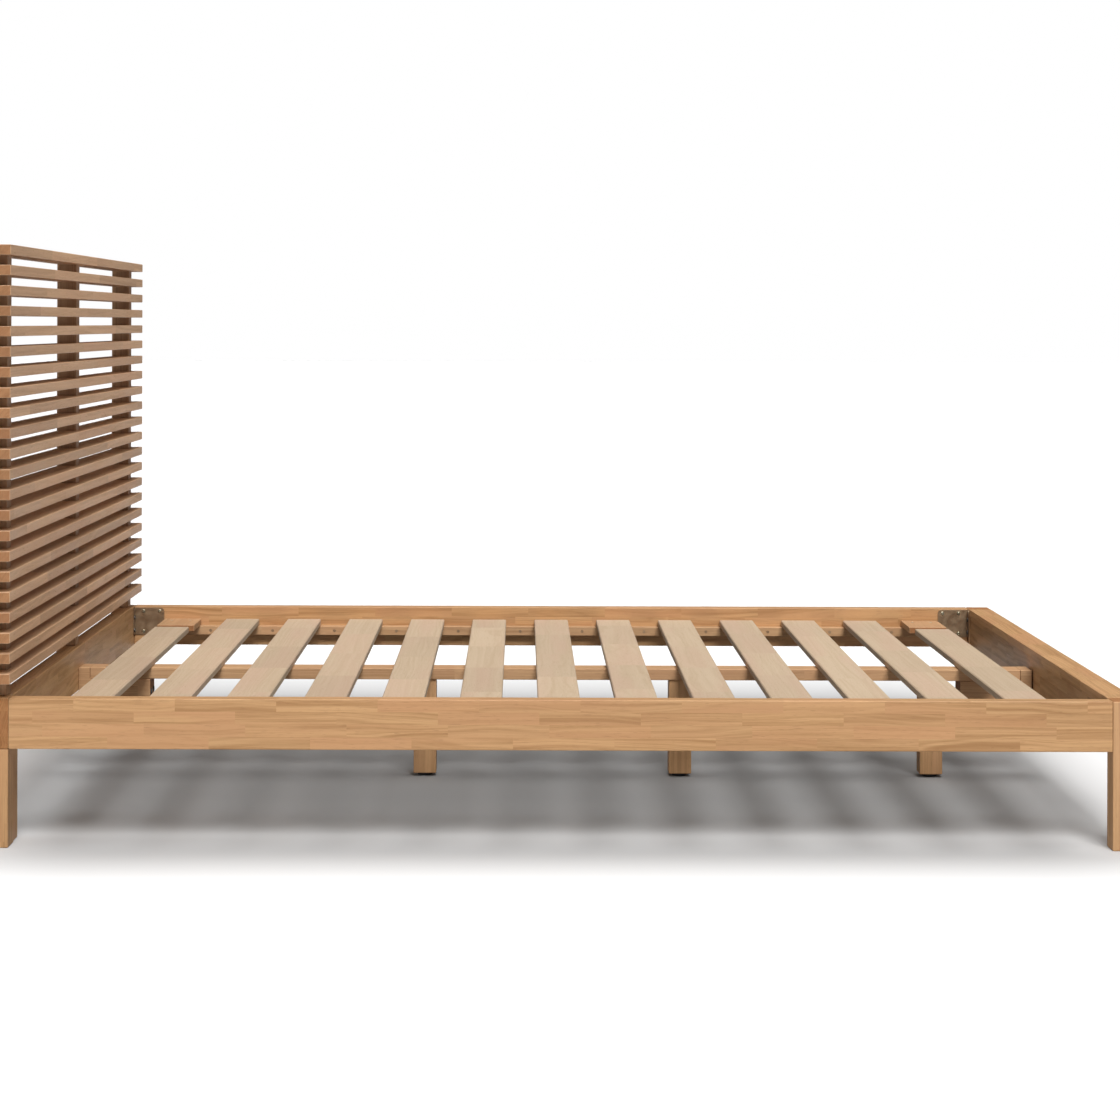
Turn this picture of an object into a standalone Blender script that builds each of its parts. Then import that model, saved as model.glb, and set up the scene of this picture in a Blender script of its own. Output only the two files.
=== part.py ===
"""A slatted platform bed frame in natural wood, in metres, +Z up.

The head is at -X and the foot at +X. Right and left are those of someone lying on the bed, so the
right side is at -Y. The origin is on the floor, under the middle of the whole frame.
"""

import bmesh
import bpy

# The mattress is 1.524 by 2.032 m, and the frame is built round it.
INNER_LENGTH = 2.070
OUTER_WIDTH = 1.600
RAIL_TOP = 0.2805
RAIL_HEIGHT = 0.095
SIDE_RAIL_THICKNESS = 0.033
HEAD_RAIL_THICKNESS = 0.034

LEG_LENGTH_X = 0.054
FOOT_LEG_WIDTH = 0.050
HEAD_LEG_WIDTH = 0.054
HEAD_LEG_BACKING_WIDTH = 0.052
HEAD_LEG_BACKING_SETBACK = 0.0025

FOOT_RAIL_LIP_HEIGHT = 0.018
FOOT_RAIL_LIP_DEPTH = 0.003

STICK_COUNT = 22
STICK_HEIGHT = 0.01905
STICK_PITCH = 2 * STICK_HEIGHT
STICK_FRONT = 0.018
STICK_OVERHANG = 0.033
STICK_TOP = 1.130
POST_FRONT_SETBACK = 0.0093
POST_DEPTH_X = 0.042
POST_WIDTH = 0.040
POST_INSET = 0.029

SLAT_COUNT = 13
SLAT_PITCH = 0.153
SLAT_WIDTH = 0.083
SLAT_THICKNESS = 0.015
SLAT_TOP = 0.2505
SLAT_END_CLEARANCE = 0.003

LEDGER_HEIGHT = 0.022
LEDGER_THICKNESS = 0.025
LEDGER_START = 0.078

END_SLAT_SHORTENING = 0.172
CORNER_BLOCK_LENGTH_X = 0.090
CORNER_BLOCK_OFFSET = 0.005
CORNER_BLOCK_REACH = 0.142
BEARER_LENGTH_X = 0.050
BEARER_REACH = 0.205
BEARER_THICKNESS = 0.011

BEAM_WIDTH = 0.060
BEAM_THICKNESS = 0.024
HANGER_REACH = 0.155
HANGER_PLATE = 0.024
HANGER_WIDTH = 0.066
HANGER_BOTTOM = 0.163

CENTRE_LEG_SIDE = 0.049
CENTRE_LEG_PLACES = (-0.283, 0.272, 0.818)
CENTRE_LEG_BOTTOM = 0.007

GAP = 0.0003
EDGE_RAIL = 0.0020
EDGE_STICK = 0.0010
EDGE_SLAT = 0.0020

INNER_END = INNER_LENGTH / 2
OUTER_SIDE = OUTER_WIDTH / 2
RAIL_BOTTOM = RAIL_TOP - RAIL_HEIGHT
INNER_SIDE = OUTER_SIDE - SIDE_RAIL_THICKNESS
SLAT_BOTTOM = SLAT_TOP - SLAT_THICKNESS
HEAD_RAIL_BACK = -INNER_END - HEAD_RAIL_THICKNESS
POST_FRONT = -INNER_END - POST_FRONT_SETBACK
POST_BACK = POST_FRONT - POST_DEPTH_X
SIDES = (("right", -1), ("left", 1))
ENDS = (("head", -1), ("foot", 1))


def clear_scene():
    for obj in list(bpy.data.objects):
        bpy.data.objects.remove(obj, do_unlink=True)


def wood(name, colour, roughness):
    material = bpy.data.materials.new(name)
    material.use_nodes = True
    shader = material.node_tree.nodes["Principled BSDF"]
    shader.inputs["Base Color"].default_value = (*colour, 1.0)
    shader.inputs["Roughness"].default_value = roughness
    shader.inputs["Metallic"].default_value = 0.0
    return material


def add_piece(name, bm, centre, material, edge, segments=1):
    """Links a mesh built round the origin as a named object at centre, with eased edges."""
    bmesh.ops.recalc_face_normals(bm, faces=bm.faces)
    mesh = bpy.data.meshes.new(name)
    bm.to_mesh(mesh)
    bm.free()
    mesh.materials.append(material)
    piece = bpy.data.objects.new(name, mesh)
    piece.location = centre
    bpy.context.scene.collection.objects.link(piece)
    bevel = piece.modifiers.new("eased_edges", "BEVEL")
    bevel.width = edge
    bevel.segments = segments
    bevel.limit_method = "ANGLE"
    return piece


def board(name, low, high, material, edge, segments=1):
    """A straight piece of timber between two opposite corners."""
    size = [b - a for a, b in zip(low, high)]
    centre = [(a + b) / 2 for a, b in zip(low, high)]
    bm = bmesh.new()
    bmesh.ops.create_cube(bm, size=1.0)
    bmesh.ops.scale(bm, vec=size, verts=bm.verts)
    return add_piece(name, bm, centre, material, edge, segments)


def moulding(name, outline, along, start, end, material, edge, segments=1):
    """A piece with a shaped section: points in the other two axes, extruded from start to end."""
    middle_a = (min(a for a, b in outline) + max(a for a, b in outline)) / 2
    middle_b = (min(b for a, b in outline) + max(b for a, b in outline)) / 2
    half = (end - start) / 2
    bm = bmesh.new()
    if along == "X":
        section = [bm.verts.new((-half, a - middle_a, b - middle_b)) for a, b in outline]
        centre = ((start + end) / 2, middle_a, middle_b)
        travel = (2 * half, 0, 0)
    elif along == "Y":
        section = [bm.verts.new((a - middle_a, -half, b - middle_b)) for a, b in outline]
        centre = (middle_a, (start + end) / 2, middle_b)
        travel = (0, 2 * half, 0)
    else:
        section = [bm.verts.new((a - middle_a, b - middle_b, -half)) for a, b in outline]
        centre = (middle_a, middle_b, (start + end) / 2)
        travel = (0, 0, 2 * half)
    face = bm.faces.new(section)
    grown = bmesh.ops.extrude_face_region(bm, geom=[face])
    moved = [item for item in grown["geom"] if isinstance(item, bmesh.types.BMVert)]
    bmesh.ops.translate(bm, vec=travel, verts=moved)
    return add_piece(name, bm, centre, material, edge, segments)


def side_rails_and_ledgers(rail_wood):
    for side, sign in SIDES:
        outer, inner = sign * OUTER_SIDE, sign * INNER_SIDE
        board(
            f"side_rail_{side}",
            (-INNER_END + GAP, min(outer, inner), RAIL_BOTTOM),
            (INNER_END - GAP, max(outer, inner), RAIL_TOP),
            rail_wood, EDGE_RAIL, 2,
        )
        against = sign * (INNER_SIDE - GAP)
        free = sign * (INNER_SIDE - GAP - LEDGER_THICKNESS)
        reach = INNER_END - LEDGER_START
        board(
            f"slat_ledger_{side}",
            (-reach, min(against, free), SLAT_BOTTOM - GAP - LEDGER_HEIGHT),
            (reach, max(against, free), SLAT_BOTTOM - GAP),
            rail_wood, EDGE_STICK,
        )


def head_end(rail_wood):
    """The head rail runs through to the sides, with the legs under its ends."""
    board(
        "head_rail",
        (HEAD_RAIL_BACK, -OUTER_SIDE, RAIL_BOTTOM),
        (-INNER_END, OUTER_SIDE, RAIL_TOP),
        rail_wood, EDGE_RAIL, 2,
    )
    leg_back = -INNER_END - LEG_LENGTH_X
    for side, sign in SIDES:
        outer = sign * OUTER_SIDE
        joint = sign * (OUTER_SIDE - HEAD_LEG_WIDTH)
        board(
            f"head_leg_{side}",
            (leg_back, min(outer, joint), 0),
            (-INNER_END, max(outer, joint), RAIL_BOTTOM - GAP),
            rail_wood, EDGE_RAIL, 2,
        )
        start = joint - sign * GAP
        stop = start - sign * HEAD_LEG_BACKING_WIDTH
        board(
            f"head_leg_backing_{side}",
            (leg_back, min(start, stop), 0),
            (-INNER_END - HEAD_LEG_BACKING_SETBACK, max(start, stop), RAIL_BOTTOM - GAP),
            rail_wood, EDGE_RAIL, 2,
        )


def foot_end(rail_wood):
    """The foot rail sits between two full-height legs, with a lip along its inner top edge."""
    face, lip = INNER_END + FOOT_RAIL_LIP_DEPTH, INNER_END
    back = INNER_END + LEG_LENGTH_X
    lip_bottom = RAIL_TOP - FOOT_RAIL_LIP_HEIGHT
    section = [
        (face, RAIL_BOTTOM),
        (back, RAIL_BOTTOM),
        (back, RAIL_TOP),
        (lip, RAIL_TOP),
        (lip, lip_bottom),
        (face, lip_bottom),
    ]
    half = OUTER_SIDE - FOOT_LEG_WIDTH - GAP
    moulding("foot_rail", section, "Y", -half, half, rail_wood, EDGE_STICK)
    for side, sign in SIDES:
        outer, inner = sign * OUTER_SIDE, sign * (OUTER_SIDE - FOOT_LEG_WIDTH)
        board(
            f"foot_leg_{side}",
            (INNER_END, min(outer, inner), 0),
            (back, max(outer, inner), RAIL_TOP),
            rail_wood, EDGE_RAIL, 2,
        )


def headboard(rail_wood):
    """Deep sticks notched over three posts, flush at the back. The posts lap over the head rail's back."""
    outer_post = OUTER_SIDE - POST_INSET - POST_WIDTH / 2
    posts = (("right", -outer_post), ("middle", 0), ("left", outer_post))
    stick_half = OUTER_SIDE + STICK_OVERHANG
    notch_half = POST_WIDTH / 2 + GAP
    front, notch_floor = POST_FRONT + GAP + STICK_FRONT, POST_FRONT + GAP
    plan = [(front, stick_half), (front, -stick_half), (POST_BACK, -stick_half)]
    for place, middle in posts:
        plan += [
            (POST_BACK, middle - notch_half),
            (notch_floor, middle - notch_half),
            (notch_floor, middle + notch_half),
            (POST_BACK, middle + notch_half),
        ]
    plan.append((POST_BACK, stick_half))
    for number in range(STICK_COUNT):
        top = STICK_TOP - number * STICK_PITCH
        moulding(
            f"headboard_stick_{number + 1:02d}",
            plan, "Z", top - STICK_HEIGHT, top, rail_wood, EDGE_STICK,
        )
    lap = HEAD_RAIL_BACK - GAP
    section = [
        (POST_BACK, RAIL_BOTTOM),
        (lap, RAIL_BOTTOM),
        (lap, RAIL_TOP + GAP),
        (POST_FRONT, RAIL_TOP + GAP),
        (POST_FRONT, STICK_TOP),
        (POST_BACK, STICK_TOP),
    ]
    for place, middle in posts:
        moulding(
            f"headboard_post_{place}",
            section, "Y", middle - POST_WIDTH / 2, middle + POST_WIDTH / 2,
            rail_wood, EDGE_STICK,
        )


def mattress_slats(slat_wood):
    """The first and the last slat stop short, at the corner blocks."""
    for number in range(SLAT_COUNT):
        middle = (number - (SLAT_COUNT - 1) / 2) * SLAT_PITCH
        half = INNER_SIDE - SLAT_END_CLEARANCE
        if number in (0, SLAT_COUNT - 1):
            half -= END_SLAT_SHORTENING
        board(
            f"mattress_slat_{number + 1:02d}",
            (middle - SLAT_WIDTH / 2, -half, SLAT_BOTTOM),
            (middle + SLAT_WIDTH / 2, half, SLAT_TOP),
            slat_wood, EDGE_SLAT,
        )


def corner_blocks(rail_wood):
    """Plates as thick as a slat on the ledgers, each with a bearer below that carries a short slat's end."""
    back, front = INNER_SIDE - GAP, INNER_SIDE - CORNER_BLOCK_REACH
    tip = INNER_SIDE - BEARER_REACH
    ledger_face = INNER_SIDE - LEDGER_THICKNESS - 2 * GAP
    inside_plate = (SLAT_BOTTOM + SLAT_TOP) / 2
    under = SLAT_BOTTOM - GAP
    bottom = under - BEARER_THICKNESS
    section = [
        (ledger_face, bottom),
        (ledger_face, inside_plate),
        (front + EDGE_STICK * 3, inside_plate),
        (front + EDGE_STICK * 3, under),
        (tip, under),
        (tip, bottom),
    ]
    slat_middle = (SLAT_COUNT - 1) / 2 * SLAT_PITCH
    half, bearer_half = CORNER_BLOCK_LENGTH_X / 2, BEARER_LENGTH_X / 2
    for end, end_sign in ENDS:
        middle = end_sign * (slat_middle - CORNER_BLOCK_OFFSET)
        bearer_middle = end_sign * slat_middle
        for side, sign in SIDES:
            name = f"corner_block_{end}_{side}"
            plate = board(
                name,
                (middle - half, min(sign * back, sign * front), SLAT_BOTTOM),
                (middle + half, max(sign * back, sign * front), SLAT_TOP),
                rail_wood, EDGE_STICK,
            )
            bearer = moulding(
                name + "_bearer",
                [(sign * y, z) for y, z in section],
                "X", bearer_middle - bearer_half, bearer_middle + bearer_half,
                rail_wood, EDGE_STICK,
            )
            bearer.hide_render = True
            joint = plate.modifiers.new("joined_bearer", "BOOLEAN")
            joint.operation = "UNION"
            joint.object = bearer


def centre_support(rail_wood):
    """A flat beam under the slats, hung from the head and foot rails, on three square legs."""
    top = SLAT_BOTTOM - GAP
    beam_bottom = top - BEAM_THICKNESS
    beam_end = INNER_END - GAP - HANGER_PLATE - GAP
    board(
        "centre_beam",
        (-beam_end, -BEAM_WIDTH / 2, beam_bottom),
        (beam_end, BEAM_WIDTH / 2, top),
        rail_wood, EDGE_STICK,
    )
    arm_top = beam_bottom - GAP
    face = INNER_END - GAP
    for end, sign in ENDS:
        section = [
            (sign * face, HANGER_BOTTOM),
            (sign * face, top),
            (sign * (face - HANGER_PLATE), top),
            (sign * (face - HANGER_PLATE), arm_top),
            (sign * (face - HANGER_REACH), arm_top),
            (sign * (face - HANGER_REACH), HANGER_BOTTOM),
        ]
        moulding(
            f"beam_hanger_{end}",
            section, "Y", -HANGER_WIDTH / 2, HANGER_WIDTH / 2, rail_wood, EDGE_STICK,
        )
    half = CENTRE_LEG_SIDE / 2
    for number, middle in enumerate(CENTRE_LEG_PLACES, 1):
        board(
            f"centre_leg_{number}",
            (middle - half, -half, CENTRE_LEG_BOTTOM),
            (middle + half, half, arm_top),
            rail_wood, EDGE_RAIL, 2,
        )


def main():
    clear_scene()
    rail_wood = wood("light_oiled_wood", (0.50, 0.29, 0.145), 0.55)
    slat_wood = wood("raw_pale_wood", (0.60, 0.44, 0.29), 0.70)
    side_rails_and_ledgers(rail_wood)
    head_end(rail_wood)
    foot_end(rail_wood)
    headboard(rail_wood)
    mattress_slats(slat_wood)
    corner_blocks(rail_wood)
    centre_support(rail_wood)


main()
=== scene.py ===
"""The looks of the slatted wooden bed frame: the timber of every board, the fittings, light and camera."""

import math

import bmesh
import bpy
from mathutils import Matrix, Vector


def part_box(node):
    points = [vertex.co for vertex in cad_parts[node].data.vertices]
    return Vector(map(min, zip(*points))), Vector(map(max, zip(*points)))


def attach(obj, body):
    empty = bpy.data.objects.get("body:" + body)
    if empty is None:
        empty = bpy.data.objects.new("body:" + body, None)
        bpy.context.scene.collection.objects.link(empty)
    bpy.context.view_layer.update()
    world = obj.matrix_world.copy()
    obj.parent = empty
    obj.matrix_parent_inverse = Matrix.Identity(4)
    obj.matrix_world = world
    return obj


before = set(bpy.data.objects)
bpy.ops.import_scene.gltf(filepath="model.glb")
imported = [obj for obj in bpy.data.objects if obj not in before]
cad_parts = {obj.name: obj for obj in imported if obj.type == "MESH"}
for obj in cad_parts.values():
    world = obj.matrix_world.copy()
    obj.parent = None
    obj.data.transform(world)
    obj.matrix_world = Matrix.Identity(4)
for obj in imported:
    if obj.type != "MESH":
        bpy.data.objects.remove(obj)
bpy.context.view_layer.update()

# How far a fastener's head is let into the face under it, and the clearance of the brackets and glides.
SUNK = 0.0004
CLEAR = 0.0002
SHARP_ANGLE = math.radians(35)

# The finger joints in the timber: half the pitch of the fingers, and the slope of their sides.
FINGER_HALF_PITCH = 0.0035
FINGER_SLOPE = 2.4

CENTRE_LEGS = (1, 2, 3)
# The two long sides, each with the direction along Y that points into the bed, and the two ends along X.
SIDES = (("right", 1), ("left", -1))
ENDS = (("head", 1), ("foot", -1))

CAMERA_ROLL = math.radians(-0.17)

# The floor's faint glow, how much of its colour lights the bed, and the depth of the shadow laid into it.
FLOOR_GLOW = 0.03
FLOOR_BOUNCE = 0.66
SHADOW_DEPTH = 0.66

WHITE = (1.0, 1.0, 1.0, 1.0)
BLACK = (0.0, 0.0, 0.0, 1.0)
PORE_COLOUR = (0.16, 0.075, 0.03, 1.0)
KNOT_COLOUR = (0.17, 0.075, 0.03, 1.0)
END_GRAIN_TINT = (0.66, 0.52, 0.40, 1.0)
WORN_TINT = (1.22, 1.24, 1.28, 1.0)

# The turn that lays each grain direction along X.
TURNS = {
    "X": (0.0, 0.0, 0.0),
    "Y": (0.0, 0.0, -math.pi / 2),
    "Z": (0.0, math.pi / 2, 0.0),
}

# Colours are linear. A strip is (height, length) of one glued length of timber.
FINISHES = {
    "oiled_rail": {
        "Light": (0.560, 0.328, 0.156), "Dark": (0.335, 0.170, 0.068), "Blush": (0.525, 0.276, 0.136),
        "Strip Height": 0.02375, "Strip Length": 0.19, "Tone Spread": 0.08,
        "Figure": 0.85, "Knots": 0.0, "Polish": 0.48,
    },
    "oiled_leg": {
        "Light": (0.600, 0.352, 0.175), "Dark": (0.410, 0.222, 0.100), "Blush": (0.560, 0.315, 0.165),
        "Strip Height": 0.0275, "Strip Length": 0.5, "Tone Spread": 0.06,
        "Figure": 0.7, "Knots": 0.0, "Polish": 0.55,
    },
    # The posts' oiled wood, darkened all over as painted shade for the shadow that the sticks cast on them.
    "oiled_post_painted_shade": {
        "Light": (0.430, 0.265, 0.152), "Dark": (0.285, 0.160, 0.085), "Blush": (0.385, 0.218, 0.124),
        "Strip Height": 0.5, "Strip Length": 0.9, "Tone Spread": 0.08,
        "Figure": 0.7, "Knots": 0.0, "Polish": 0.52,
    },
    "oiled_stick": {
        "Light": (0.580, 0.365, 0.215), "Dark": (0.390, 0.225, 0.122), "Blush": (0.520, 0.300, 0.175),
        "Strip Height": 0.5, "Strip Length": 0.55, "Tone Spread": 0.22,
        "Figure": 0.65, "Knots": 0.0, "Polish": 0.48,
    },
    "raw_slat": {
        "Light": (0.515, 0.398, 0.276), "Dark": (0.395, 0.275, 0.170), "Blush": (0.510, 0.355, 0.255),
        "Strip Height": 0.5, "Strip Length": 0.36, "Tone Spread": 0.14,
        "Figure": 0.45, "Knots": 1.0, "Polish": 0.66,
    },
    "plain_support": {
        "Light": (0.520, 0.315, 0.165), "Dark": (0.330, 0.175, 0.080), "Blush": (0.475, 0.260, 0.135),
        "Strip Height": 0.5, "Strip Length": 0.38, "Tone Spread": 0.16,
        "Figure": 0.7, "Knots": 0.4, "Polish": 0.58,
    },
}

# The start of a node's name: its finish and the direction of its grain.
TIMBER = {
    "side_rail": ("oiled_rail", "X"),
    "head_rail": ("oiled_rail", "Y"),
    "foot_rail": ("oiled_rail", "Y"),
    "head_leg": ("oiled_rail", "Z"),
    "foot_leg": ("oiled_leg", "Z"),
    # The posts take the darker finish, which is painted shade.
    "headboard_post": ("oiled_post_painted_shade", "Z"),
    "headboard_stick": ("oiled_stick", "Y"),
    "mattress_slat": ("raw_slat", "Y"),
    "slat_ledger": ("plain_support", "X"),
    "corner_block": ("plain_support", "Y"),
    "beam_hanger": ("plain_support", "X"),
    "centre_beam": ("plain_support", "X"),
    "centre_leg": ("oiled_leg", "Z"),
}


class Graph:
    """Short calls that add linked nodes to a node tree."""

    def __init__(self, tree):
        self.tree = tree

    def add(self, kind, inputs, **settings):
        node = self.tree.nodes.new(kind)
        for name, value in settings.items():
            setattr(node, name, value)
        for key, value in inputs.items():
            if isinstance(value, bpy.types.NodeSocket):
                self.tree.links.new(value, node.inputs[key])
            else:
                node.inputs[key].default_value = value
        return node

    def math(self, operation, *values):
        return self.add("ShaderNodeMath", dict(enumerate(values)), operation=operation).outputs[0]

    def vector(self, operation, *values):
        made = self.add("ShaderNodeVectorMath", dict(enumerate(values)), operation=operation)
        return made.outputs["Value" if operation == "LENGTH" else "Vector"]

    def scaled(self, vector, scale):
        return self.vector("MULTIPLY", vector, scale)

    def noise(self, vector, detail=2.0, roughness=0.5):
        inputs = {"Vector": vector, "Scale": 1.0, "Detail": detail, "Roughness": roughness}
        return self.add("ShaderNodeTexNoise", inputs).outputs[0]

    def band(self, value, start, stop, low=0.0, high=1.0):
        """low before start, high after stop, and smooth between."""
        inputs = {"Value": value, "From Min": start, "From Max": stop, "To Min": low, "To Max": high}
        return self.add("ShaderNodeMapRange", inputs, interpolation_type="SMOOTHSTEP").outputs[0]

    def mix(self, factor, a, b, blend="MIX"):
        made = self.add("ShaderNodeMix", {0: factor, 6: a, 7: b}, data_type="RGBA", blend_type=blend)
        return made.outputs[2]

    def parts(self, vector):
        return self.add("ShaderNodeSeparateXYZ", {"Vector": vector}).outputs

    def joined(self, x, y, z):
        return self.add("ShaderNodeCombineXYZ", {"X": x, "Y": y, "Z": z}).outputs[0]


# ------------------------------------------------------------------ timber


def glued_strips(g, given, turned):
    """Which strip and length a point is in: three random numbers, the same all over that length."""
    x, y, z = g.parts(turned)
    down = g.math("SUBTRACT", given["Strip Start"], z)
    row = g.math("FLOOR", g.math("DIVIDE", down, given["Strip Height"]))
    own_row = g.math("ADD", row, g.math("MULTIPLY", given["Seed"], 7.3))
    row_random = g.add("ShaderNodeTexWhiteNoise", {"W": own_row}, noise_dimensions="1D").outputs[0]
    finger = g.math("MULTIPLY", g.math("PINGPONG", y, FINGER_HALF_PITCH), FINGER_SLOPE)
    along = g.math("DIVIDE", g.math("ADD", x, finger), given["Strip Length"])
    length = g.math("FLOOR", g.math("ADD", along, g.math("MULTIPLY", row_random, 9.0)))
    place = g.joined(row, length, given["Seed"])
    made = g.add("ShaderNodeTexWhiteNoise", {"Vector": place}, noise_dimensions="3D")
    return made.outputs["Color"]


def knots(g, given, point):
    """(how dark a point is made by a knot, how far the grain swings round it)."""
    inputs = {"Vector": g.scaled(point, (6.5, 6.5, 1.0)), "Scale": 1.0}
    cells = g.add("ShaderNodeTexVoronoi", inputs)
    chance = g.parts(cells.outputs["Color"])[0]
    there = g.math("MULTIPLY", g.band(chance, 0.74, 0.76), given["Knots"])
    distance = cells.outputs["Distance"]
    dark = g.math("MULTIPLY", g.band(distance, 0.045, 0.015), there)
    swing = g.math("MULTIPLY", g.band(distance, 0.22, 0.03), there)
    return dark, swing


def edge_distance(g, given, position):
    """On a board's surface, the distance to its nearest edge: the middle one of its three face distances."""
    offset = g.vector("ABSOLUTE", g.vector("SUBTRACT", position, given["Middle"]))
    x, y, z = g.parts(g.vector("SUBTRACT", given["Half"], offset))
    least = g.math("MINIMUM", x, y)
    most = g.math("MAXIMUM", x, y)
    return g.math("MAXIMUM", least, g.math("MINIMUM", most, z))


def wood_figure():
    """The node group that every board shares: rings, streaks, fibres, pores, knots, end grain and wear."""
    tree = bpy.data.node_groups.new("wood_figure", "ShaderNodeTree")
    vectors = ("Turn", "Middle", "Half")
    colours = ("Light", "Dark", "Blush")
    floats = (
        "Seed", "Strip Start", "Strip Height", "Strip Length", "Tone Spread", "Figure", "Knots", "Polish"
    )
    for kind, names in (("Vector", vectors), ("Color", colours), ("Float", floats)):
        for name in names:
            tree.interface.new_socket(name, in_out="INPUT", socket_type=f"NodeSocket{kind}")
    for name, kind in (("Colour", "Color"), ("Roughness", "Float"), ("Normal", "Vector")):
        tree.interface.new_socket(name, in_out="OUTPUT", socket_type=f"NodeSocket{kind}")

    g = Graph(tree)
    given = tree.nodes.new("NodeGroupInput").outputs
    place = tree.nodes.new("ShaderNodeTexCoord").outputs
    position = place["Object"]
    turn = {"Vector": position, "Rotation": given["Turn"]}
    turned = g.add("ShaderNodeVectorRotate", turn, rotation_type="EULER_XYZ").outputs[0]
    random_three = glued_strips(g, given, turned)

    # Each glued length is cut from another part of the log.
    seed_shift = g.scaled(g.joined(given["Seed"], given["Seed"], given["Seed"]), (1.73, 0.217, 0.149))
    log_shift = g.scaled(random_three, (5.0, 0.36, 0.30))
    point = g.vector("ADD", g.vector("ADD", turned, log_shift), seed_shift)
    knot, swing = knots(g, given, point)

    # Growth rings run round the pith, and wander along the trunk.
    around = g.scaled(g.vector("ADD", turned, g.scaled(random_three, (0.0, 0.16, 0.12))), (0.0, 1.0, 1.0))
    radius = g.vector("LENGTH", g.vector("ADD", around, (0.0, 0.02, 0.03)))
    wander = g.noise(g.scaled(point, (2.2, 16.0, 16.0)), 2.0)
    bent = g.math("ADD", radius, g.math("MULTIPLY", wander, 0.034))
    bent = g.math("ADD", bent, g.math("MULTIPLY", swing, 0.012))
    rings = g.noise(g.joined(g.math("MULTIPLY", bent, 260.0), given["Seed"], 0.0), 2.0, 0.6)
    streaks = g.noise(g.scaled(point, (2.4, 95.0, 95.0)), 4.0, 0.62)
    fibres = g.noise(g.scaled(point, (16.0, 900.0, 900.0)), 2.0)
    pores = g.band(g.noise(g.scaled(point, (55.0, 1500.0, 1500.0)), 0.0), 0.70, 0.80)

    lines = g.math("ADD", g.math("MULTIPLY", rings, 0.5), g.math("MULTIPLY", streaks, 0.36))
    lines = g.math("ADD", lines, g.math("MULTIPLY", fibres, 0.14))
    figure = g.math("MULTIPLY", g.band(lines, 0.39, 0.64), given["Figure"])
    colour = g.mix(figure, given["Light"], given["Dark"])
    patches = g.band(g.noise(g.scaled(point, (1.6, 14.0, 14.0)), 2.0), 0.42, 0.68)
    colour = g.mix(g.math("MULTIPLY", patches, 0.6), colour, given["Blush"])

    tone = g.math("MULTIPLY", g.math("SUBTRACT", g.parts(random_three)[2], 0.5), given["Tone Spread"])
    tone = g.math("ADD", 1.0, tone)
    colour = g.mix(1.0, colour, g.joined(tone, tone, tone), "MULTIPLY")
    colour = g.mix(g.math("MULTIPLY", pores, 0.30), colour, PORE_COLOUR)
    colour = g.mix(g.math("MULTIPLY", knot, 0.8), colour, KNOT_COLOUR)

    # End grain drinks more oil, so it is darker and duller.
    facing = {"Vector": place["Normal"], "Rotation": given["Turn"]}
    facing = g.add("ShaderNodeVectorRotate", facing, rotation_type="EULER_XYZ").outputs[0]
    end_grain = g.band(g.parts(g.vector("ABSOLUTE", facing))[0], 0.75, 0.95)
    colour = g.mix(end_grain, colour, g.mix(1.0, colour, END_GRAIN_TINT, "MULTIPLY"))

    # Handling rubs the arrises pale, in broken patches.
    edge = edge_distance(g, given, position)
    breaks = g.noise(g.scaled(position, (60.0, 60.0, 60.0)), 3.0)
    rubbed = g.math("ADD", edge, g.math("MULTIPLY", breaks, 0.0045))
    wear = g.band(rubbed, 0.0042, 0.0018)
    pale = g.mix(1.0, colour, WORN_TINT, "MULTIPLY")
    colour = g.mix(g.math("MULTIPLY", wear, 0.32), colour, pale)

    smear = g.noise(g.scaled(point, (5.0, 30.0, 30.0)), 3.0)
    roughness = g.math("ADD", given["Polish"], g.math("MULTIPLY", g.math("SUBTRACT", smear, 0.5), 0.22))
    roughness = g.math("ADD", roughness, g.math("MULTIPLY", g.math("MAXIMUM", end_grain, pores), 0.15))
    roughness = g.math("SUBTRACT", roughness, g.math("MULTIPLY", wear, 0.06))

    relief = g.math("ADD", g.math("MULTIPLY", fibres, 0.45), g.math("MULTIPLY", streaks, 0.35))
    relief = g.math("SUBTRACT", relief, g.math("MULTIPLY", pores, 0.6))
    relief = g.math("SUBTRACT", relief, g.math("MULTIPLY", knot, 0.8))
    bump = {"Strength": 0.55, "Distance": 0.00035, "Height": relief}
    normal = g.add("ShaderNodeBump", bump).outputs[0]

    out = tree.nodes.new("NodeGroupOutput")
    for name, socket in (("Colour", colour), ("Roughness", roughness), ("Normal", normal)):
        tree.links.new(socket, out.inputs[name])
    return tree


def timber_material(node, figure, finish, grain, seed):
    """One board's own material: the shared figure, with this board's place, seed and finish."""
    material = bpy.data.materials.new(f"{finish}_{node}")
    material.use_nodes = True
    tree = material.node_tree
    low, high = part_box(node)
    group = tree.nodes.new("ShaderNodeGroup")
    group.node_tree = figure
    group.inputs["Turn"].default_value = TURNS[grain]
    group.inputs["Middle"].default_value = (low + high) / 2
    group.inputs["Half"].default_value = (high - low) / 2
    group.inputs["Seed"].default_value = seed
    group.inputs["Strip Start"].default_value = -low.x if grain == "Z" else high.z
    for name, value in FINISHES[finish].items():
        group.inputs[name].default_value = (*value, 1.0) if isinstance(value, tuple) else value
    shader = tree.nodes["Principled BSDF"]
    shader.inputs["Specular IOR Level"].default_value = 0.27
    for output, socket in (("Colour", "Base Color"), ("Roughness", "Roughness"), ("Normal", "Normal")):
        tree.links.new(group.outputs[output], shader.inputs[socket])
    return material


def finish_timber():
    figure = wood_figure()
    for number, (name, piece) in enumerate(sorted(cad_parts.items())):
        finish, grain = next(TIMBER[start] for start in TIMBER if name.startswith(start))
        seed = 0.37 + 1.61 * number
        piece.material_slots[0].material = timber_material(name, figure, finish, grain, seed)


# ------------------------------------------------------------------ metal and plastic


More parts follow.
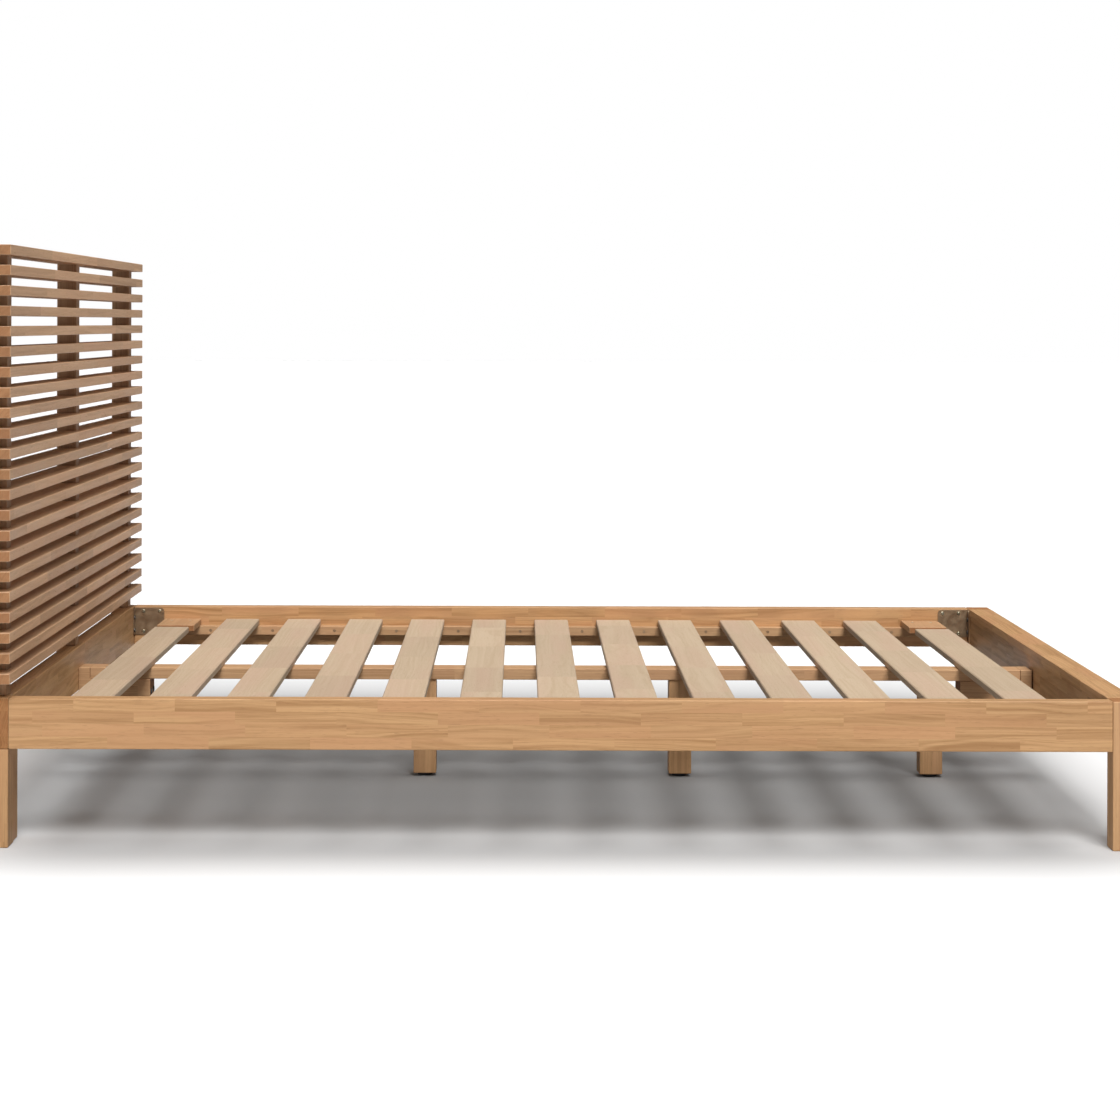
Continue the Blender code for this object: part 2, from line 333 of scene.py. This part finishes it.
def hardware_material(name, colour, rubbed, roughness, metallic):
    """A finish that is blotched, finely scratched, and rubbed brighter on its high spots."""
    material = bpy.data.materials.new(name)
    material.use_nodes = True
    g = Graph(material.node_tree)
    place = material.node_tree.nodes.new("ShaderNodeTexCoord").outputs["Object"]
    blotches = g.noise(g.scaled(place, (55.0, 55.0, 55.0)), 3.0, 0.5)
    scratches = g.noise(g.scaled(place, (900.0, 900.0, 90.0)), 3.0, 0.65)
    worn = g.band(g.math("ADD", blotches, g.math("MULTIPLY", scratches, 0.35)), 0.45, 0.98)
    shader = material.node_tree.nodes["Principled BSDF"]
    shader.inputs["Metallic"].default_value = metallic
    links = material.node_tree.links
    links.new(g.mix(worn, (*colour, 1.0), (*rubbed, 1.0)), shader.inputs["Base Color"])
    links.new(g.band(blotches, 0.3, 0.7, roughness - 0.08, roughness + 0.1), shader.inputs["Roughness"])
    bump = {"Strength": 0.35, "Distance": 0.0001, "Height": scratches}
    links.new(g.add("ShaderNodeBump", bump).outputs[0], shader.inputs["Normal"])
    return material


def add_piece(name, bm, material, body="frame", eased=0.0):
    """Turns a bmesh in frame coordinates into a piece that rides on a body."""
    bmesh.ops.recalc_face_normals(bm, faces=bm.faces)
    mesh = bpy.data.meshes.new(name)
    bm.to_mesh(mesh)
    bm.free()
    mesh.materials.append(material)
    mesh.shade_smooth()
    mesh.set_sharp_from_angle(angle=SHARP_ANGLE)
    piece = bpy.data.objects.new(name, mesh)
    bpy.context.scene.collection.objects.link(piece)
    if eased:
        bevel = piece.modifiers.new("eased_edges", "BEVEL")
        bevel.width = eased
        bevel.segments = 2
        bevel.limit_method = "ANGLE"
        bevel.angle_limit = math.radians(50)
    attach(piece, body)
    return piece


def cross_recess(reach, half_width):
    """The outline of a cross-head driver recess."""
    corner = [(reach, -half_width), (reach, half_width), (half_width, half_width)]
    turns = [(1, 0, 0, 1), (0, -1, 1, 0), (-1, 0, 0, -1), (0, 1, -1, 0)]
    return [(a * x + b * y, c * x + d * y) for a, b, c, d in turns for x, y in corner]


def hex_recess(across_corners):
    """The outline of a hexagon socket."""
    radius = across_corners / 2
    angles = [step * math.pi / 3 for step in range(6)]
    return [(math.cos(angle) * radius, math.sin(angle) * radius) for angle in angles]


def add_head(bm, place, outward, profile, recess, depth, sides=24):
    """Adds a turned head at place, facing outward. profile lists (radius, height) from its seat up."""
    turn = Vector(outward).to_track_quat("Z", "Y")

    def put(x, y, z):
        return bm.verts.new(Vector(place) + turn @ Vector((x, y, z)))

    rings = []
    for radius, height in profile:
        angles = [2 * math.pi * step / sides for step in range(sides)]
        rings.append([put(radius * math.cos(a), radius * math.sin(a), height) for a in angles])
    bm.faces.new(rings[0])
    for lower, upper in zip(rings, rings[1:]):
        for step in range(sides):
            after = (step + 1) % sides
            bm.faces.new((lower[step], lower[after], upper[after], upper[step]))
    top = profile[-1][1]
    mouth = [put(x, y, top) for x, y in recess]
    floor = [put(x * 0.8, y * 0.8, top - depth) for x, y in recess]
    edges = []
    for loop in (rings[-1], mouth):
        for start, stop in zip(loop, loop[1:] + loop[:1]):
            edges.append(bm.edges.get((start, stop)) or bm.edges.new((start, stop)))
    bmesh.ops.triangle_fill(bm, edges=edges, use_beauty=True)
    for step in range(len(recess)):
        after = (step + 1) % len(recess)
        bm.faces.new((mouth[step], mouth[after], floor[after], floor[step]))
    bm.faces.new(floor)


def add_pan_screw(bm, place, outward, radius=0.0045):
    profile = [
        (radius, -SUNK),
        (radius, 0.0006),
        (radius * 0.93, 0.0013),
        (radius * 0.78, 0.0019),
        (radius * 0.62, 0.0021),
    ]
    add_head(bm, place, outward, profile, cross_recess(radius * 0.46, radius * 0.11), 0.0013)


def add_flush_screw(bm, place, outward, radius=0.0042):
    profile = [(radius, -SUNK), (radius, 0.0002), (radius * 0.94, 0.0004), (radius * 0.62, 0.0004)]
    add_head(bm, place, outward, profile, cross_recess(radius * 0.5, radius * 0.12), 0.0007)


def add_socket_bolt(bm, place, outward, radius=0.0075):
    profile = [
        (radius, -SUNK),
        (radius, 0.0009),
        (radius * 0.95, 0.0016),
        (radius * 0.84, 0.0020),
        (radius * 0.58, 0.0021),
    ]
    add_head(bm, place, outward, profile, hex_recess(radius * 0.66), 0.0014)


# ------------------------------------------------------------------ fittings


def edges_on(bm, on_line):
    """The edges whose two ends both pass the test."""
    return [edge for edge in bm.edges if all(on_line(v.co) for v in edge.verts)]


def level(edge):
    return abs(edge.verts[0].co.z - edge.verts[1].co.z) < 1e-6


def corner_brackets(bracket_steel, screw_steel, bolt_steel):
    """An angle bracket in each corner, screwed to the side rail and bolted to the head rail or foot leg."""
    length, flange, thickness = 0.075, 0.0165, 0.0025
    bottom, top = 0.2105, 0.2775
    plate_rounding, flange_rounding, bend_radius = 0.009, 0.005, 0.0022
    screw_places = [(u, z) for u in (0.024, 0.064) for z in (0.219, 0.269)]
    bolt_heights = (0.2225, 0.2535)
    bolt_offset, bolt_radius = 0.0093, 0.0058
    inner_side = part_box("side_rail_left")[0].y
    faces = {"head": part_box("head_rail")[1].x, "foot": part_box("foot_leg_left")[0].x}
    outline = [
        (0, 0), (length, 0), (length, thickness), (thickness, thickness), (thickness, flange), (0, flange)
    ]
    for end, into_x in ENDS:
        for side, into_y in SIDES:
            corner = (faces[end] + into_x * CLEAR, -into_y * (inner_side - CLEAR))

            def at(u, w, z):
                return (corner[0] + into_x * u, corner[1] + into_y * w, z)

            bm = bmesh.new()
            section = bm.faces.new([bm.verts.new(at(u, w, bottom)) for u, w in outline])
            grown = bmesh.ops.extrude_face_region(bm, geom=[section])
            raised = [item for item in grown["geom"] if isinstance(item, bmesh.types.BMVert)]
            bmesh.ops.translate(bm, vec=(0, 0, top - bottom), verts=raised)
            plate_end = corner[0] + into_x * length
            flange_end = corner[1] + into_y * flange
            plate_edges = edges_on(bm, lambda co: abs(co.x - plate_end) < 1e-6)
            flange_edges = edges_on(bm, lambda co: abs(co.y - flange_end) < 1e-6)
            bend = edges_on(bm, lambda co: abs(co.x - corner[0]) + abs(co.y - corner[1]) < 1e-6)
            round_plate = [edge for edge in plate_edges if level(edge)]
            round_flange = [edge for edge in flange_edges if level(edge)]
            for edges, offset, segments in (
                (round_plate, plate_rounding, 6), (round_flange, flange_rounding, 5), (bend, bend_radius, 4)
            ):
                bmesh.ops.bevel(
                    bm, geom=edges, offset=offset, segments=segments, profile=0.5, affect="EDGES"
                )
            add_piece(f"corner_bracket_{end}_{side}", bm, bracket_steel, eased=0.0003)

            screws = bmesh.new()
            for u, z in screw_places:
                add_pan_screw(screws, at(u, thickness, z), (0, into_y, 0))
            add_piece(f"bracket_screws_{end}_{side}", screws, screw_steel)
            bolts = bmesh.new()
            for z in bolt_heights:
                add_socket_bolt(bolts, at(thickness, bolt_offset, z), (into_x, 0, 0), bolt_radius)
            add_piece(f"bracket_bolts_{end}_{side}", bolts, bolt_steel)


def ledger_screws(bracket_steel):
    """A countersunk screw through each ledger in every gap between two slats."""
    slats = [name for name in sorted(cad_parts) if name.startswith("mattress_slat")]
    for side, into in SIDES:
        low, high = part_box(f"slat_ledger_{side}")
        face = high.y if into > 0 else low.y
        middle = (low.z + high.z) / 2
        bm = bmesh.new()
        for slat, next_slat in zip(slats, slats[1:]):
            gap_middle = (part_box(slat)[1].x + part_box(next_slat)[0].x) / 2
            add_flush_screw(bm, (gap_middle, face, middle), (0, into, 0), 0.0034)
        add_piece(f"ledger_screws_{side}", bm, bracket_steel)


def post_fastenings(screw_steel, bolt_steel):
    """Each post has a screw into every stick, and two bolts where it laps the head rail."""
    rail_low, rail_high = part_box("head_rail")
    sticks = [name for name in sorted(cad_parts) if name.startswith("headboard_stick")]
    for place in ("right", "middle", "left"):
        low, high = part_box(f"headboard_post_{place}")
        middle = (low.y + high.y) / 2
        screws = bmesh.new()
        for stick in sticks:
            stick_low, stick_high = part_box(stick)
            height = (stick_low.z + stick_high.z) / 2
            add_flush_screw(screws, (low.x, middle, height), (-1, 0, 0), 0.0040)
        add_piece(f"post_screws_{place}", screws, screw_steel)
        bolts = bmesh.new()
        for share in (0.27, 0.73):
            height = rail_low.z + share * (rail_high.z - rail_low.z)
            add_socket_bolt(bolts, (low.x, middle, height), (-1, 0, 0))
        add_piece(f"post_bolts_{place}", bolts, bolt_steel)


def beam_fastenings(screw_steel, bolt_steel):
    """Bolts in the hangers' inner ends, screws down through the beam, and one bolt over each centre leg."""
    hanger_reach = 0.155
    bolt_rise, bolt_side = 0.020, 0.018
    screw_places = ((0.060, -0.016), (0.060, 0.016), (0.140, 0.0))
    beam_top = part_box("centre_beam")[1].z
    for end, into in ENDS:
        low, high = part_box(f"beam_hanger_{end}")
        face = low.x if into > 0 else high.x
        bolts = bmesh.new()
        for y in (-bolt_side, bolt_side):
            place = (face + into * hanger_reach, y, low.z + bolt_rise)
            add_socket_bolt(bolts, place, (into, 0, 0), 0.0062)
        add_piece(f"hanger_bolts_{end}", bolts, bolt_steel)
        screws = bmesh.new()
        for x, y in screw_places:
            add_flush_screw(screws, (face + into * x, y, beam_top), (0, 0, 1))
        add_piece(f"beam_screws_{end}", screws, screw_steel)
    for number in CENTRE_LEGS:
        low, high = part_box(f"centre_leg_{number}")
        bm = bmesh.new()
        add_flush_screw(bm, ((low.x + high.x) / 2, 0.0, beam_top), (0, 0, 1), 0.0065)
        add_piece(f"centre_leg_bolt_{number}", bm, bolt_steel)


def block_screws(screw_steel):
    """Two countersunk screws in the top of each corner block."""
    distance_in = 0.040
    for end in ("head", "foot"):
        for side, into in SIDES:
            low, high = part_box(f"corner_block_{end}_{side}")
            outer = low.y if into > 0 else high.y
            bm = bmesh.new()
            for share in (0.25, 0.75):
                x = low.x + share * (high.x - low.x)
                add_flush_screw(bm, (x, outer + into * distance_in, high.z), (0, 0, 1))
            add_piece(f"block_screws_{end}_{side}", bm, screw_steel)


def leg_glides(glide_plastic):
    """A round nail-on glide fills the space between each centre leg and the floor."""
    for number in CENTRE_LEGS:
        low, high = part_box(f"centre_leg_{number}")
        middle = ((low.x + high.x) / 2, (low.y + high.y) / 2, 0.0)
        height = low.z - CLEAR
        bm = bmesh.new()
        profile = [
            (0.0125, 0.0),
            (0.0150, 0.0008),
            (0.0165, 0.0024),
            (0.0168, height - 0.0006),
            (0.0160, height),
        ]
        add_head(bm, middle, (0, 0, 1), profile, hex_recess(0.008), 0.001, sides=40)
        add_piece(f"leg_glide_{number}", bm, glide_plastic)


# ------------------------------------------------------------------ stage, light and camera


def pale_floor():
    """A white floor with a broad soft shadow laid into it, which lights the bed less than it shows."""
    bm = bmesh.new()
    bmesh.ops.create_grid(bm, x_segments=1, y_segments=1, size=60.0)
    mesh = bpy.data.meshes.new("floor")
    bm.to_mesh(mesh)
    bm.free()
    material = bpy.data.materials.new("pale_floor")
    material.use_nodes = True
    g = Graph(material.node_tree)
    place = material.node_tree.nodes.new("ShaderNodeTexCoord").outputs["Object"]
    x, y = g.parts(place)[:2]
    along = g.band(g.math("ABSOLUTE", x), 1.50, 0.84)
    front = g.math("ADD", g.band(y, -1.22, -0.86, 0.0, 0.7), g.band(y, -0.80, -0.25, 0.0, 0.3))
    across = g.math("MULTIPLY", front, g.band(y, 2.05, 0.70))
    under = g.math("MULTIPLY", g.math("MULTIPLY", along, across), SHADOW_DEPTH)
    shaded = g.mix(under, WHITE, BLACK)
    bounced = g.mix(1.0, shaded, (FLOOR_BOUNCE, FLOOR_BOUNCE, FLOOR_BOUNCE, 1.0), "MULTIPLY")
    path = material.node_tree.nodes.new("ShaderNodeLightPath").outputs
    colour = g.mix(path["Is Camera Ray"], bounced, shaded)
    shader = material.node_tree.nodes["Principled BSDF"]
    material.node_tree.links.new(colour, shader.inputs["Base Color"])
    shader.inputs["Roughness"].default_value = 0.8
    shader.inputs["Specular IOR Level"].default_value = 0.1
    material.node_tree.links.new(shaded, shader.inputs["Emission Color"])
    shader.inputs["Emission Strength"].default_value = FLOOR_GLOW
    mesh.materials.append(material)
    floor = bpy.data.objects.new("floor", mesh)
    bpy.context.scene.collection.objects.link(floor)


def studio_sky(ambient):
    """A white sweep to look at, which lights the scene only as much as the ambient level says."""
    world = bpy.data.worlds.new("studio")
    bpy.context.scene.world = world
    world.use_nodes = True
    g = Graph(world.node_tree)
    seen = world.node_tree.nodes["Background"]
    seen.inputs["Color"].default_value = WHITE
    seen.inputs["Strength"].default_value = 1.0
    lit = g.add("ShaderNodeBackground", {"Color": WHITE, "Strength": ambient})
    path = world.node_tree.nodes.new("ShaderNodeLightPath")
    inputs = {0: path.outputs["Is Camera Ray"], 1: lit.outputs[0], 2: seen.outputs[0]}
    both = g.add("ShaderNodeMixShader", inputs)
    world.node_tree.links.new(both.outputs[0], world.node_tree.nodes["World Output"].inputs["Surface"])


def soft_sun(name, strength, angle, towards):
    """A very broad lamp, in the direction given, so that the light is even and its shadows are soft."""
    light = bpy.data.lights.new(name, "SUN")
    light.energy = strength
    light.angle = math.radians(angle)
    lamp = bpy.data.objects.new(name, light)
    lamp.rotation_mode = "QUATERNION"
    lamp.rotation_quaternion = Vector(towards).to_track_quat("Z", "Y")
    bpy.context.scene.collection.objects.link(lamp)


def headboard_softbox(power, place, aim):
    """A square panel over the foot end, which lights the fronts of the headboard's sticks from above."""
    light = bpy.data.lights.new("headboard_softbox", "AREA")
    light.energy = power
    light.size = 1.2
    lamp = bpy.data.objects.new("headboard_softbox", light)
    lamp.location = place
    lamp.rotation_mode = "QUATERNION"
    lamp.rotation_quaternion = (Vector(place) - Vector(aim)).to_track_quat("Z", "Y")
    lamp.visible_camera = False
    bpy.context.scene.collection.objects.link(lamp)


def camera():
    """Square to the side rail, nearly a metre up, and shifted so that the bed fills the picture's width."""
    data = bpy.data.cameras.new("camera")
    data.sensor_width = 36.0
    data.lens = 82.7
    data.shift_x = 0.0344
    data.shift_y = -0.2119
    data.clip_end = 200.0
    view = bpy.data.objects.new("camera", data)
    view.location = (-0.0756, -5.619, 0.987)
    view.rotation_euler = (math.pi / 2, CAMERA_ROLL, 0.0)
    bpy.context.scene.collection.objects.link(view)
    bpy.context.scene.camera = view


finish_timber()
bracket_steel = hardware_material("bracket_steel", (0.30, 0.195, 0.115), (0.38, 0.27, 0.17), 0.44, 0.75)
screw_steel = hardware_material("screw_steel", (0.40, 0.36, 0.25), (0.55, 0.52, 0.40), 0.34, 1.0)
bolt_steel = hardware_material("bolt_steel", (0.035, 0.033, 0.031), (0.16, 0.15, 0.14), 0.38, 0.9)
glide_plastic = hardware_material("glide_plastic", (0.025, 0.025, 0.027), (0.06, 0.06, 0.062), 0.5, 0.0)
corner_brackets(bracket_steel, screw_steel, bolt_steel)
ledger_screws(bracket_steel)
post_fastenings(screw_steel, bolt_steel)
beam_fastenings(screw_steel, bolt_steel)
block_screws(screw_steel)
leg_glides(glide_plastic)

pale_floor()
studio_sky(ambient=0.06)
soft_sun("front_softbox", 2.9, 26.0, (0.17, -1.0, 0.95))
soft_sun("overhead_softbox", 1.15, 46.0, (0.0, 0.05, 1.0))
soft_sun("head_fill", 0.55, 44.0, (-1.0, -0.25, 0.22))
headboard_softbox(26.0, (0.95, 0.0, 2.7), (-1.035, 0.0, 0.75))
camera()
bpy.context.scene.view_settings.view_transform = "Standard"
